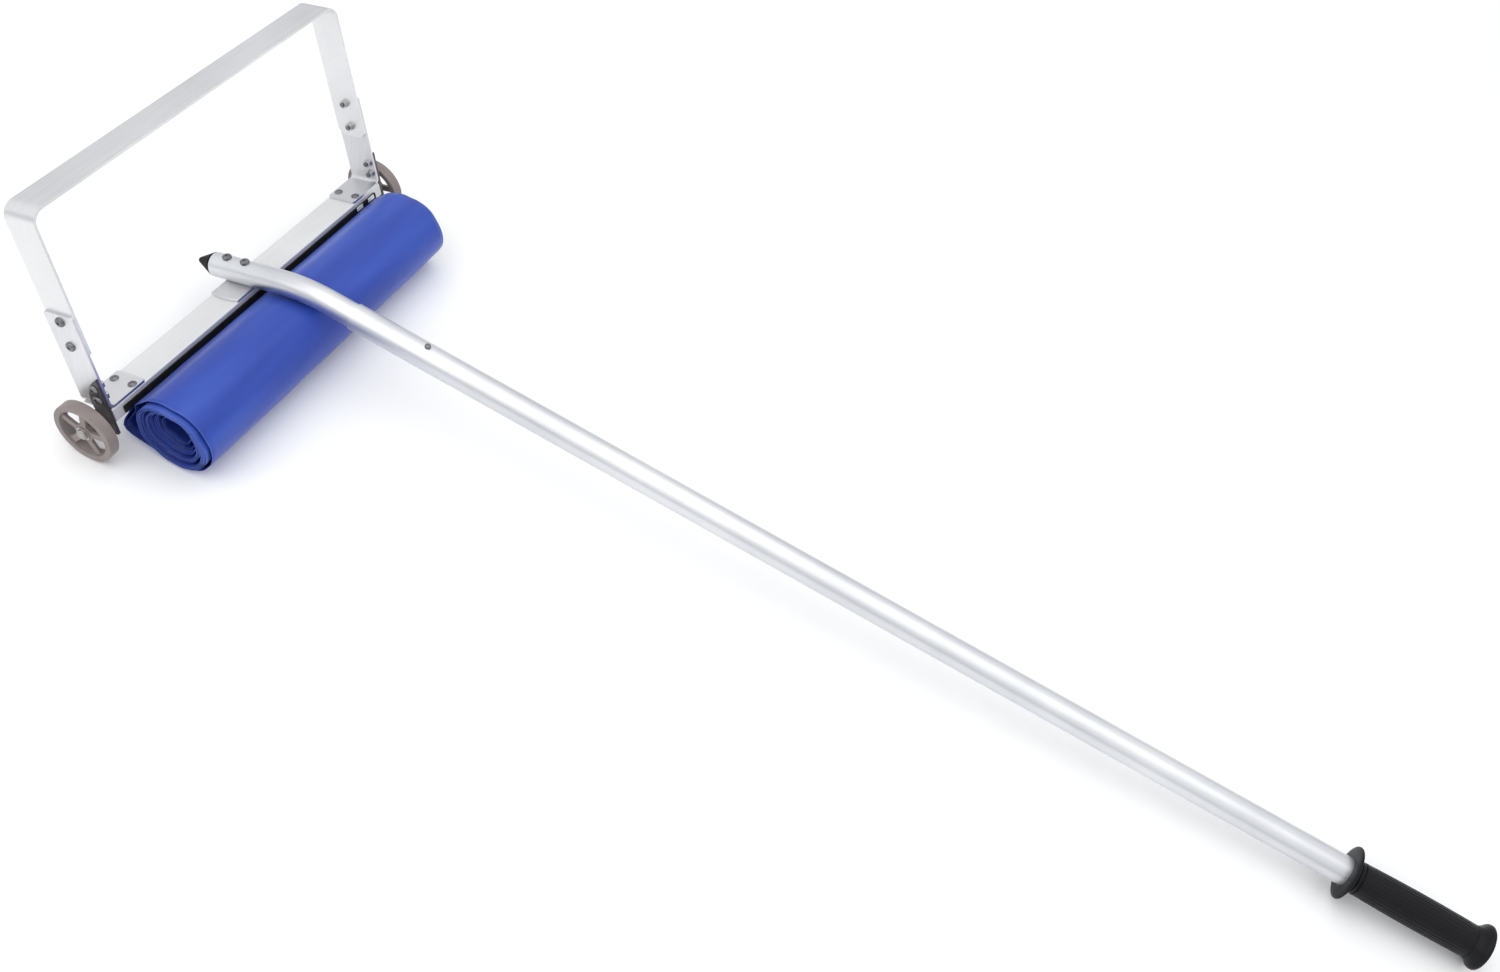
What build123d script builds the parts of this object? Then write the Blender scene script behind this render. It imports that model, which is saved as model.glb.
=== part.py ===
from build123d import *

import os
from math import acos, asin, atan2, cos, degrees, hypot, radians, sin, tan

# A roof snow rake: an open cutter frame on two wheels, with a long pole and a rolled slide sheet behind it.
#
# Head frame (mm): X across the head, +Y forward away from the grip, +Z up along the cutter legs.
# Its zero is on the top face of the base bar, midway between the legs and midway along the strips.
# Row frame: the head frame leaned forward until wheels and grip stand on the floor Z = 0, centred in X and Y.

# ---- driving dimensions -------------------------------------------------------------------------------------

# cutter frame and side brackets, both bent from flat aluminium strip
frame_width = 414.0
frame_height = 209.0
strip_width = 34.0
strip_t = 2.5
corner_radius = 14.0
leg_foot = 57.0
leg_foot_chamfer = 6.0
bracket_top = 104.0
bracket_corner = 3.0
fold_radius = 6.5
flange_reach = 44.0

# base bar, an angle strip
bar_t = 2.0
bar_flange = 14.0
bar_end_gap = 1.0
bar_fold_share = 0.8

# screws through the legs, the axle plates and the saddle
bolt_r = 2.5
bolt_hole_gap = 0.25
bolt_tail = 1.5
head_rim = 2.3
head_h = 2.8
head_round_share = 0.6
nut_wall = 1.5
nut_h = 4.0
leg_bolt_above_foot = 12.0
leg_bolt_below_top = 8.0

# rivets through the bracket flanges and the bar
rivet_r = 2.4
rivet_head_rim = 2.0
rivet_head_h = 1.6
rivet_tail_rim = 0.8
rivet_tail_h = 2.0
rivet_from_edge = 6.0
rivet_from_end = 11.0

# axle plates, outside the brackets
plate_t = 3.0
plate_arc_r = 38.0
plate_arc_front = 1.0
plate_arc_z = 5.0
axle_boss_wall = 9.0
plate_bolt_from_edge = 7.0
plate_bolt_height = 12.0
plate_bolt_pitch = 13.0

# wheels and axles
wheel_r = 32.0
wheel_width = 12.0
axle_y = 6.0
axle_z = -19.4
axle_r = 4.0
axle_fit = 0.05
spacer_length = 7.0
spacer_wall = 2.6
hub_wall = 5.5
hub_side_gap = 0.2
hub_proud = 0.5
rim_t = 6.5
web_t = 3.0
face_recess = 2.6
spoke_count = 5
spoke_width = 6.5
window_corner = 2.0
rim_round = 1.2
axle_washer_rim = 3.0
axle_washer_t = 1.0
axle_head_rim = 1.8
axle_head_h = 2.8
axle_nut_wall = 2.5
axle_nut_h = 6.5

# pole: a bent head tube that the main tube slips over
pole_r = 14.0
pole_wall = 1.3
slip_fit = 0.1
head_tube_wall = 1.6
lip_round_share = 0.7
head_tube_front = 30.6
bend_y = -81.9
bend_angle = 18.29
bend_radius = 180.0
joint_straight = 29.03
joint_overlap = 132.0
pole_end = 1264.0

# saddle between head tube and bar
saddle_t = 3.0
saddle_half_width = 32.0
saddle_end_round = 60.0
saddle_edge_chamfer = 0.6
seat_depth = 1.0
front_bolt_from_edge = 4.5
rear_nut_gap = 0.38

# nose plug
nose_length = 21.0
nose_tip_r = 2.4
nose_tip_round_share = 0.8
nose_lip = 0.6
nose_lip_length = 1.5
nose_insert = 14.0

# snap button and its spring
button_from_joint = 83.0
button_r = 3.1
button_fit = 0.05
button_proud = 3.0
button_round_share = 0.6
button_rim = 0.9
button_flange_t = 1.0
spring_width = 6.0
spring_t = 0.8
spring_length = 34.0
spring_gap = 0.15
spring_bend_r = 1.6

# grip
grip_cover = 133.0
grip_cap = 5.5
grip_wall = 1.9
grip_crown = 0.9
grip_guard_reach = 12.5
grip_guard_t = 3.5
grip_guard_round_share = 0.45
grip_groove_start = 3.0
grip_groove_count = 2
grip_groove_depth = 1.1
grip_groove_width = 2.0
grip_end_reach = 8.5
grip_end_flange_t = 7.0
grip_end_slope = 1.5
grip_end_round = 1.2
grip_dome = 3.0

# rolled slide sheet, its hem and clips
roll_r = 38.5
roll_spread = 9.0
roll_from_bar = 26.0
roll_end_gap = 11.5
roll_hollow_r = 17.0
bulge_r = 10.0
bulge_behind = 20.0
bulge_height = 19.0
top_fold_r = 4.0
top_fold_gap = 2.3
top_fold_rise = 1.3
leader_t = 0.9
leader_gap = 1.0
leader_drop = 0.5
tube_dent_gap = 0.6
hem_t = 2.2
hem_height = 8.0
hem_drop = 4.5
hem_end_gap = 10.0
clip_length = 10.0
clip_height = 4.2
clip_t = 0.8
clip_count = 2
clip_from_end = 9.0
clip_pitch = 20.0

# ---- derived sizes and places -------------------------------------------------------------------------------

half_width = frame_width / 2
half_strip = strip_width / 2
bracket_out = half_width + strip_t
plate_out = bracket_out + plate_t
wheel_hub_in = plate_out + spacer_length + hub_side_gap
wheel_in = wheel_hub_in + hub_proud
wheel_out = wheel_in + wheel_width
hub_out = wheel_out - face_recess
head_tube_r = pole_r - pole_wall - slip_fit
tube_z = saddle_t - seat_depth + head_tube_r

head_r = bolt_r + head_rim
nut_across = 2 * (bolt_r + nut_wall)
leg_bolt_heights = (leg_foot + leg_bolt_above_foot, bracket_top - leg_bolt_below_top)
plate_bolt_y = plate_bolt_from_edge - half_strip
plate_bolt_heights = (plate_bolt_height, plate_bolt_height + plate_bolt_pitch)
rear_bolt_y = bar_t + rear_nut_gap + nut_across / 3**0.5 - half_strip
saddle_bolt_ys = (half_strip - front_bolt_from_edge, rear_bolt_y)
rivet_x = bracket_out - flange_reach - strip_t + rivet_from_end
rivet_y = half_strip - rivet_from_edge

hub_r = axle_r + hub_wall
pole_start = joint_straight + bend_radius * tan(radians(bend_angle / 2))
head_tube_end = pole_start + joint_overlap
button_at = pole_start + button_from_joint
grip_start = pole_end - grip_cover
grip_length = grip_cover + grip_cap
grip_body_r = pole_r + grip_wall
grip_guard_r = pole_r + grip_guard_reach
grip_end_flange_r = pole_r + grip_end_reach
roll_behind = roll_from_bar + roll_r + roll_spread / 2
roll_length = frame_width - 2 * roll_end_gap
hem_length = frame_width - 2 * hem_end_gap

pole = Plane(
    origin=(0, bend_y, tube_z),
    x_dir=(1, 0, 0),
    z_dir=(0, -cos(radians(bend_angle)), -sin(radians(bend_angle))),
)


def on_pole(along, up=0.0):
    """Head-frame (y, z) of a point beside the pole's axis, measured from the bend's corner."""
    point = pole.origin + pole.z_dir * along + pole.y_dir * up
    return point.Y, point.Z


def lean_on(y, z, radius):
    """Angle of the floor line that touches the wheel and a round edge behind it."""
    dy, dz = axle_y - y, axle_z - z
    return degrees(atan2(dz, dy) - asin((wheel_r - radius) / hypot(dy, dz)))


end_edge = on_pole(grip_start + grip_length - grip_dome - grip_end_round, grip_end_round - grip_end_flange_r)
guard_edge = on_pole(grip_start + grip_guard_t / 2, grip_guard_t / 2 - grip_guard_r)
lean = max(lean_on(*end_edge, grip_end_round), lean_on(*guard_edge, grip_guard_t / 2))


def leaned(y, z):
    """Head-frame (y, z) after the head has leaned forward, standing on the floor, before centring in Y."""
    turned_y = y * cos(radians(lean)) + z * sin(radians(lean))
    turned_z = z * cos(radians(lean)) - y * sin(radians(lean))
    axle_height = axle_z * cos(radians(lean)) - axle_y * sin(radians(lean))
    return turned_y, turned_z - axle_height + wheel_r


# ---- small helpers ------------------------------------------------------------------------------------------


def rod(radius, start, end):
    """Round bar from one point to another."""
    start, end = Vector(*start), Vector(*end)
    return extrude(Plane(origin=start, z_dir=end - start) * Circle(radius), (end - start).length)


def ring(radius, bore, start, end):
    """Washer or sleeve from one point to another."""
    return rod(radius, start, end) - rod(bore, start, end)


def hex_nut(across_flats, bore, start, end):
    """Hexagonal nut from one point to another."""
    start, end = Vector(*start), Vector(*end)
    plane = Plane(origin=start, z_dir=end - start)
    section = RegularPolygon(across_flats / 2, 6, major_radius=False) - Circle(bore)
    return extrude(plane * section, (end - start).length)


def pan_head(radius, height, start, end):
    """Screw head from one point towards another, with its outer edge rounded."""
    start, end = Vector(*start), Vector(*end)
    tip = start + (end - start).normalized() * height
    head = rod(radius, tuple(start), tuple(tip))
    rim = head.edges().filter_by(GeomType.CIRCLE).sort_by_distance(tip)[0]
    return fillet(rim, height * head_round_share)


def both_sides(build):
    """A left-hand part and its mirror image on the right."""
    left = build()
    return left, mirror(left, Plane.YZ)


# ---- cutter frame -------------------------------------------------------------------------------------------


def cutter_frame():
    outer = Rectangle(frame_width, frame_height - leg_foot)
    outer = fillet(outer.vertices().group_by(Axis.Y)[-1], corner_radius)
    inner = Pos(0, -strip_t / 2) * Rectangle(frame_width - 2 * strip_t, frame_height - leg_foot - strip_t)
    inner = fillet(inner.vertices().group_by(Axis.Y)[-1], corner_radius - strip_t)
    section = Pos(0, (frame_height + leg_foot) / 2) * (outer - inner)
    frame = extrude(Plane.XZ * section, half_strip, both=True)
    feet = frame.edges().filter_by(Axis.X).group_by(Axis.Z)[0]
    frame = chamfer(feet, leg_foot_chamfer)
    for z in leg_bolt_heights:
        frame -= rod(bolt_r + bolt_hole_gap, (-half_width, 0, z), (half_width, 0, z))
    return frame


def side_bracket():
    upright = Pos(-(half_width + strip_t / 2), 0, bracket_top / 2) * Box(strip_t, strip_width, bracket_top)
    reach = flange_reach + strip_t
    flange = Pos(-bracket_out + reach / 2, 0, strip_t / 2) * Box(reach, strip_width, strip_t)
    bracket = upright + flange
    outside = bracket.edges().filter_by(Axis.Y).sort_by_distance((-bracket_out, 0, 0))[0]
    bracket = fillet(outside, fold_radius)
    inside = bracket.edges().filter_by(Axis.Y).sort_by_distance((-half_width, 0, strip_t))[0]
    bracket = fillet(inside, fold_radius - strip_t)
    corners = bracket.edges().filter_by(Axis.X).group_by(Axis.Z)[-1]
    corners += bracket.edges().filter_by(Axis.Z).group_by(Axis.X)[-1]
    bracket = fillet(corners, bracket_corner)
    for z in leg_bolt_heights:
        bracket -= rod(bolt_r + bolt_hole_gap, (-bracket_out, 0, z), (-half_width, 0, z))
    for z in plate_bolt_heights:
        hole = rod(bolt_r + bolt_hole_gap, (-bracket_out, plate_bolt_y, z), (-half_width, plate_bolt_y, z))
        bracket -= hole
    for x, y in rivet_spots():
        if x < 0:
            bracket -= rod(rivet_r, (x, y, 0), (x, y, strip_t))
    return bracket


def rivet_spots():
    return [(side * rivet_x, end * rivet_y) for side in (-1, 1) for end in (-1, 1)]


def base_bar():
    length = 2 * (bracket_out - bar_end_gap)
    top = Pos(0, 0, -bar_t / 2) * Box(length, strip_width, bar_t)
    flange = Pos(0, (bar_t - strip_width) / 2, -bar_flange / 2) * Box(length, bar_t, bar_flange)
    bar = top + flange
    outside = bar.edges().filter_by(Axis.X).sort_by_distance((0, -half_strip, 0))[0]
    bar = fillet(outside, bar_t * bar_fold_share)
    for x, y in rivet_spots():
        bar -= rod(rivet_r, (x, y, -bar_t), (x, y, 0))
    for y in saddle_bolt_ys:
        bar -= rod(bolt_r + bolt_hole_gap, (0, y, -bar_t), (0, y, 0))
    return bar


def side_bolts(y, heights, grip_out, grip_in):
    """Bolts through a leg's layers on both sides: heads outside, nuts inside."""
    bolts, nuts = [], []
    for side in (-1, 1):
        for z in heights:
            outer, inner = (side * grip_out, y, z), (side * grip_in, y, z)
            head = pan_head(head_r, head_h, outer, (side * (grip_out + head_h), y, z))
            tail = (side * (grip_in - nut_h - bolt_tail), y, z)
            bolts.append(head + rod(bolt_r, outer, tail))
            nuts.append(hex_nut(nut_across, bolt_r, inner, (side * (grip_in - nut_h), y, z)))
    return bolts, nuts


def bar_rivets():
    rivets = []
    for x, y in rivet_spots():
        top, bottom = (x, y, strip_t), (x, y, -bar_t)
        head = pan_head(rivet_r + rivet_head_rim, rivet_head_h, top, (x, y, strip_t + rivet_head_h))
        shank = rod(rivet_r, top, bottom)
        tail = rod(rivet_r + rivet_tail_rim, bottom, (x, y, -bar_t - rivet_tail_h))
        rivets.append(head + shank + tail)
    return rivets


# ---- wheels -------------------------------------------------------------------------------------------------


def axle_plate():
    face = Plane(origin=(-bracket_out, 0, 0), x_dir=(0, -1, 0), z_dir=(-1, 0, 0))
    # In this plane the first coordinate runs backwards along -Y and the second up along Z.
    arc = Pos(plate_arc_r - plate_arc_front, plate_arc_z) * Circle(plate_arc_r)
    front = Pos(half_strip - plate_arc_r, plate_arc_z) * Rectangle(2 * plate_arc_r, 2 * plate_arc_r)
    segment = arc & front
    boss_r = axle_r + axle_boss_wall
    boss = Pos(-axle_y, axle_z) * Circle(boss_r)
    low = plate_arc_z - (plate_arc_r**2 - (plate_arc_r - plate_arc_front - half_strip) ** 2) ** 0.5
    web = make_face(
        Polyline(
            (half_strip, plate_arc_z),
            (half_strip, low),
            (-axle_y, axle_z - boss_r),
            (-axle_y, axle_z + boss_r),
            close=True,
        )
    )
    section = segment + boss + web - Pos(-axle_y, axle_z) * Circle(axle_r)
    for z in plate_bolt_heights:
        section -= Pos(-plate_bolt_y, z) * Circle(bolt_r + bolt_hole_gap)
    return extrude(face * section, plate_t)


def axle():
    """Shoulder bolt: its head outside the wheel, its shank through spacer and plate to the nut inside."""
    outer = hub_out + hub_side_gap + axle_washer_t
    head_end = (-outer - axle_head_h, axle_y, axle_z)
    head = pan_head(axle_r + axle_head_rim, axle_head_h, (-outer, axle_y, axle_z), head_end)
    tail = bracket_out - axle_nut_h - bolt_tail
    return head + rod(axle_r, (-outer, axle_y, axle_z), (-tail, axle_y, axle_z))


def axle_trim():
    """Spacer, outer washer and inner nut of the left axle."""
    near = hub_out + hub_side_gap
    spacer = ring(
        axle_r + spacer_wall, axle_r, (-plate_out, axle_y, axle_z), (-plate_out - spacer_length, axle_y, axle_z)
    )
    washer_end = (-near - axle_washer_t, axle_y, axle_z)
    washer = ring(axle_r + axle_washer_rim, axle_r, (-near, axle_y, axle_z), washer_end)
    nut_end = (-bracket_out + axle_nut_h, axle_y, axle_z)
    nut = hex_nut(2 * (axle_r + axle_nut_wall), axle_r, (-bracket_out, axle_y, axle_z), nut_end)
    return spacer, washer, nut


def wheel():
    """Moulded wheel: a deep rim, a thinner web with rounded windows, and a hub."""

    def at(x):
        return Plane(origin=(-x, axle_y, axle_z), x_dir=(0, -1, 0), z_dir=(-1, 0, 0))

    rim = extrude(at(wheel_in) * (Circle(wheel_r) - Circle(wheel_r - rim_t)), wheel_width)
    corners = rim.edges().filter_by(GeomType.CIRCLE)
    rim = fillet(corners, rim_round)
    window = Circle(wheel_r - rim_t) - Circle(hub_r)
    sector = 360 / spoke_count
    reach = 2 * wheel_r
    wedge = make_face(
        Polyline(
            (0, 0),
            (reach, reach * tan(radians(sector / 2))),
            (reach, -reach * tan(radians(sector / 2))),
            close=True,
        )
    )
    shift = spoke_width / 2 / sin(radians(sector / 2))
    window = window & (Pos(shift, 0) * wedge)
    window = fillet(window.vertices(), window_corner)
    web = Circle(wheel_r - rim_t / 2) - Circle(axle_r + axle_fit)
    for index in range(spoke_count):
        web -= Rot(0, 0, (index + 0.5) * sector) * window
    web = extrude(at(hub_out - web_t) * web, web_t)
    hub = extrude(at(wheel_hub_in) * (Circle(hub_r) - Circle(axle_r + axle_fit)), hub_out - wheel_hub_in)
    return rim + web + hub


# ---- pole ---------------------------------------------------------------------------------------------------


def across_at(y):
    """Plane square to the head tube's straight front stretch."""
    return Plane(origin=(0, y, tube_z), x_dir=(1, 0, 0), z_dir=(0, -1, 0))


def bent_bar(radius, end):
    """Round bar along the head tube's line: straight, bent down, and straight to a place on the pole."""
    path = FilletPolyline(
        (0, head_tube_front, tube_z), (0, bend_y, tube_z), (0, *on_pole(end)), radius=bend_radius
    )
    return sweep(across_at(head_tube_front) * Circle(radius), path)


def button_hole():
    """Drill through the upper walls of both tubes for the snap button."""
    return rod(button_r + button_fit, (0, *on_pole(button_at)), (0, *on_pole(button_at, 2 * pole_r)))


def head_tube():
    tube = bent_bar(head_tube_r, head_tube_end)
    lip = tube.edges().filter_by(GeomType.CIRCLE).group_by(Axis.Y)[-1]
    tube = fillet(lip, head_tube_wall * lip_round_share)
    tube -= bent_bar(head_tube_r - head_tube_wall, head_tube_end)
    for y in saddle_bolt_ys:
        tube -= rod(bolt_r + bolt_hole_gap, (0, y, 0), (0, y, tube_z + pole_r))
    return tube - button_hole()


def pole_tube():
    length = pole_end - pole_start
    section = Pos(0, 0, pole_start) * (Circle(pole_r) - Circle(pole_r - pole_wall))
    return extrude(pole * section, length) - button_hole()


def nose_plug():
    radius = head_tube_r - head_tube_wall
    base = head_tube_r - nose_lip
    profile = make_face(
        Polyline(
            (0, -nose_insert),
            (radius, -nose_insert),
            (radius, 0),
            (base, 0),
            (base, nose_lip_length),
            (nose_tip_r, nose_length),
            (0, nose_length),
            close=True,
        )
    )
    plug = revolve(profile, Axis.Y)
    tip = plug.edges().filter_by(GeomType.CIRCLE).group_by(Axis.Y)[-1]
    plug = fillet(tip, nose_tip_r * nose_tip_round_share)
    return Pos(0, head_tube_front, tube_z) * plug


def saddle():
    """Plate between head tube and bar, with bowed ends and a shallow round seat."""
    outline = Rectangle(2 * saddle_half_width, strip_width)
    bow = Pos(saddle_end_round - saddle_half_width, 0) * Circle(saddle_end_round)
    outline = outline & bow & mirror(bow, Plane.YZ)
    plate = extrude(outline, saddle_t)
    upper = plate.edges().group_by(Axis.Z)[-1]
    plate = chamfer(upper, saddle_edge_chamfer)
    plate -= rod(head_tube_r, (0, -strip_width, tube_z), (0, strip_width, tube_z))
    for y in saddle_bolt_ys:
        plate -= rod(bolt_r + bolt_hole_gap, (0, y, 0), (0, y, saddle_t))
    return plate


def saddle_bolts():
    bolts, nuts = [], []
    top = tube_z + head_tube_r
    for y in saddle_bolt_ys:
        head = pan_head(head_r, head_h, (0, y, top), (0, y, top + head_h))
        bolts.append(head + rod(bolt_r, (0, y, top), (0, y, -bar_t - nut_h - bolt_tail)))
        nuts.append(hex_nut(nut_across, bolt_r, (0, y, -bar_t), (0, y, -bar_t - nut_h)))
    return bolts, nuts


def button_parts():
    """Snap button, standing out through both tubes, and the V spring that carries it."""
    bore = head_tube_r - head_tube_wall
    button_flange_r = button_r + button_rim
    flange_top = (bore**2 - button_flange_r**2) ** 0.5 - spring_gap
    flange_low = flange_top - button_flange_t
    stem = Plane(origin=(0, flange_low, 0), x_dir=(1, 0, 0), z_dir=(0, 1, 0))
    body = extrude(stem * Circle(button_r), pole_r + button_proud - flange_low)
    crown = body.edges().filter_by(GeomType.CIRCLE).group_by(Axis.Y)[-1]
    body = fillet(crown, button_r * button_round_share)
    body += extrude(stem * Circle(button_flange_r), button_flange_t)
    high = flange_low - spring_gap - spring_t / 2
    low = spring_gap + spring_t / 2 - (bore**2 - (spring_width / 2) ** 2) ** 0.5
    ends = ((low, 0), (low, spring_length), (high, 2 * button_flange_r), (high, -button_flange_r))
    line = FilletPolyline(*[(-y, along) for y, along in ends], radius=spring_bend_r)
    strip_face = Plane(origin=(0, 0, 0), x_dir=(0, -1, 0), z_dir=(1, 0, 0)) * trace(line, spring_t)
    spring = extrude(strip_face, spring_width / 2, both=True)
    place = pole * Pos(0, 0, button_at)
    return place * body, place * spring


def grip():
    """Moulded grip with a hand guard, two ring grooves, a crowned body and a domed end flange."""
    body_start = grip_guard_t + grip_groove_start
    body_end = grip_length - grip_end_flange_t
    outline = [(pole_r, 0), (grip_guard_r, 0), (grip_guard_r, grip_guard_t), (grip_body_r, grip_guard_t)]
    for _ in range(grip_groove_count):
        low = grip_body_r - grip_groove_depth
        groove_end = body_start + grip_groove_width
        outline += [(grip_body_r, body_start), (low, body_start), (low, groove_end), (grip_body_r, groove_end)]
        body_start += 2 * grip_groove_width
    body_start -= grip_groove_width
    front = Polyline(*outline)
    middle = (grip_body_r + grip_crown, (body_start + body_end) / 2)
    crown = ThreePointArc((grip_body_r, body_start), middle, (grip_body_r, body_end))
    flange_end = grip_length - grip_dome
    back = Polyline(
        (grip_body_r, body_end),
        (grip_end_flange_r, body_end + grip_end_slope),
        (grip_end_flange_r, flange_end),
    )
    dome_r = (grip_end_flange_r**2 + grip_dome**2) / (2 * grip_dome)
    half = grip_end_flange_r / 2
    dome_mid = (half, grip_length - dome_r + (dome_r**2 - half**2) ** 0.5)
    dome = ThreePointArc((grip_end_flange_r, flange_end), dome_mid, (0, grip_length))
    bore = Polyline((0, grip_length), (0, grip_cover), (pole_r, grip_cover), (pole_r, 0))
    face = make_face([*front.edges(), *crown.edges(), *back.edges(), *dome.edges(), *bore.edges()])
    solid = revolve(Plane.XZ * face, Axis.Z)
    rims = solid.edges().filter_by(GeomType.CIRCLE)
    guard = rims.filter_by(lambda edge: abs(edge.radius - grip_guard_r) < 0.01)
    solid = fillet(guard, grip_guard_t * grip_guard_round_share)
    rims = solid.edges().filter_by(GeomType.CIRCLE)
    rear = rims.filter_by(lambda edge: abs(edge.radius - grip_end_flange_r) < 0.01)
    solid = fillet(rear, grip_end_round)
    return pole * Pos(0, 0, grip_start) * solid


# ---- slide sheet --------------------------------------------------------------------------------------------


def hem_strip():
    y = -half_strip - hem_t / 2
    return Pos(0, y, -hem_drop - hem_height / 2) * Box(hem_length, hem_t, hem_height)


def hem_clips():
    y = -half_strip - hem_t - clip_t / 2
    z = -hem_drop - clip_height / 2
    last = hem_length / 2 - clip_from_end
    xs = [last - index * clip_pitch for index in range(clip_count)]
    return [Pos(x, y, z) * Box(clip_length, clip_t, clip_height) for x in xs]


def sheet_roll():
    """Rolled sheet lying on the floor; from its hem it hangs down behind the bar and passes under the roll."""
    head_y = leaned(0, 0)[0]
    roll_y = head_y - roll_behind
    bulge_y = head_y - bulge_behind
    rounds = [Pos(roll_y + side * roll_spread / 2, roll_r) * Circle(roll_r) for side in (-1, 1)]
    rear = -half_strip - hem_t
    low = -hem_drop - hem_height
    fold_y, fold_z = leaned(rear, (low - hem_drop) / 2)
    bulge = Pos(bulge_y, bulge_height) * Circle(bulge_r)
    fold = Pos(fold_y - top_fold_gap - top_fold_r, fold_z + top_fold_rise) * Circle(top_fold_r)
    round_edges = [edge for part in rounds for edge in part.edges()]
    section = make_hull([*round_edges, *bulge.edges()]) + make_hull([*round_edges, *fold.edges()])
    section -= Pos(roll_y, roll_r) * Circle(roll_hollow_r)
    under_bar = leaned(-half_strip - leader_gap, -bar_flange - leader_drop)
    back, up = under_bar[0] - bulge_y, under_bar[1] - bulge_height
    turn = atan2(up, back) - acos(bulge_r / hypot(back, up))
    points = [
        leaned(rear, low),
        leaned(rear + leader_t, low),
        under_bar,
        (bulge_y + bulge_r * cos(turn), bulge_height + bulge_r * sin(turn)),
        (bulge_y - bulge_r, bulge_height + bulge_r),
    ]
    section += make_face(Polyline(*points, close=True))
    roll = extrude(Plane.YZ * section, roll_length / 2, both=True)
    return roll - stand(bent_bar(head_tube_r + tube_dent_gap, pole_start)) - stand(
        extrude(pole * Circle(pole_r + tube_dent_gap), 2 * pole_start)
    )


# ---- assembly -----------------------------------------------------------------------------------------------


def stand(shape):
    """Lean a head-frame shape forward and put it on the floor."""
    lift = leaned(0, 0)[1]
    return Pos(0, 0, lift) * (Rot(-lean, 0, 0) * shape)


def build():
    head = {}
    head["cutter_frame"] = cutter_frame()
    head["left_side_bracket"], head["right_side_bracket"] = both_sides(side_bracket)
    head["base_bar"] = base_bar()
    head["leg_bolts"], head["leg_nuts"] = side_bolts(0, leg_bolt_heights, bracket_out, half_width - strip_t)
    head["bar_rivets"] = bar_rivets()
    head["left_axle_plate"], head["right_axle_plate"] = both_sides(axle_plate)
    bolts, nuts = side_bolts(plate_bolt_y, plate_bolt_heights, plate_out, half_width)
    head["plate_bolts"], head["plate_nuts"] = bolts, nuts
    head["left_axle"], head["right_axle"] = both_sides(axle)
    for name, left in zip(("axle_spacers", "axle_washers", "axle_nuts"), axle_trim()):
        head[name] = [left, mirror(left, Plane.YZ)]
    head["left_wheel"], head["right_wheel"] = both_sides(wheel)
    head["pole_saddle"] = saddle()
    head["saddle_bolts"], head["saddle_nuts"] = saddle_bolts()
    head["head_tube"] = head_tube()
    head["nose_plug"] = nose_plug()
    head["pole_tube"] = pole_tube()
    head["snap_button"], head["button_spring"] = button_parts()
    head["grip"] = grip()
    head["hem_strip"] = hem_strip()
    head["hem_clips"] = hem_clips()
    nodes = {}
    for name, shape in head.items():
        if isinstance(shape, list):
            nodes[name] = Compound(children=[stand(piece) for piece in shape])
        else:
            nodes[name] = stand(shape)
    nodes["slide_sheet"] = sheet_roll()
    return nodes


def main():
    nodes = build()
    boxes = [shape.bounding_box() for shape in nodes.values()]
    back, front = min(box.min.Y for box in boxes), max(box.max.Y for box in boxes)
    centre = Pos(0, -(back + front) / 2, 0)
    os.makedirs("parts", exist_ok=True)
    for name, shape in nodes.items():
        export_step(centre * shape, f"parts/{name}.step")
    print("lean of the head", round(lean, 4), "y shift", round(-(back + front) / 2, 4))
    print("low point", round(min(box.min.Z for box in boxes), 4), "length", round(front - back, 3))
    for name, (y, z) in {
        "axle": (axle_y, axle_z),
        "head zero": (0, 0),
        "button": on_pole(button_at, pole_r + button_proud),
        "frame top": (0, frame_height),
        "pole mid": on_pole((pole_start + grip_start) / 2),
    }.items():
        row_y, row_z = leaned(y, z)
        print(name, round(row_y - (back + front) / 2, 4), round(row_z, 4))


main()
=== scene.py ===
import math

import bpy
from mathutils import Matrix, Vector


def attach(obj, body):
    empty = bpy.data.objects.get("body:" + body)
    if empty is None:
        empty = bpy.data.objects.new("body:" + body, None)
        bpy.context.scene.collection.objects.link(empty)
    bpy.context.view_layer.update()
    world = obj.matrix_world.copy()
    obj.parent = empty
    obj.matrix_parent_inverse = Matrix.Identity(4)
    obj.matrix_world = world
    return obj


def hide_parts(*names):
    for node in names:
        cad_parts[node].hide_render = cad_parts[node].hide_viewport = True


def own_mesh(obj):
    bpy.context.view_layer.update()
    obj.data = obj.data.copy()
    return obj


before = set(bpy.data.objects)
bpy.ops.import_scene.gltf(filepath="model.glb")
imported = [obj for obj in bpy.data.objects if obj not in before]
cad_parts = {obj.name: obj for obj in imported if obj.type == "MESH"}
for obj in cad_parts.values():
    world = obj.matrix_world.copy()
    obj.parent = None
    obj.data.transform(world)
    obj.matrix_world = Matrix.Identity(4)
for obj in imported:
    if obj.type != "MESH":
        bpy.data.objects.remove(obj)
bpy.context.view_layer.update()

MM = 0.001

# ---- places, as in part.py: head frame in mm, leaned forward and moved to the row frame in metres ----------------

LEAN = math.radians(15.3206)
CA, SA = math.cos(LEAN), math.sin(LEAN)
HEAD_Y, HEAD_Z = 635.7124, 52.2959
BRACKET_OUT, PLATE_OUT, HALF_STRIP = 209.5, 212.5, 17.0
TUBE_Z, TUBE_R = 14.6, 12.6
BEND_Y, BEND = -81.9, math.radians(18.29)
BEND_RUN = 28.0  # how far the head tube's curve reaches on both sides of its bend's corner


def lean(x, y, z):
    """Head-frame millimetres to row-frame metres."""
    return Vector((x, HEAD_Y + y * CA + z * SA, HEAD_Z + z * CA - y * SA)) * MM


def lean_dir(x, y, z):
    return Vector((x, y * CA + z * SA, z * CA - y * SA))


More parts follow.
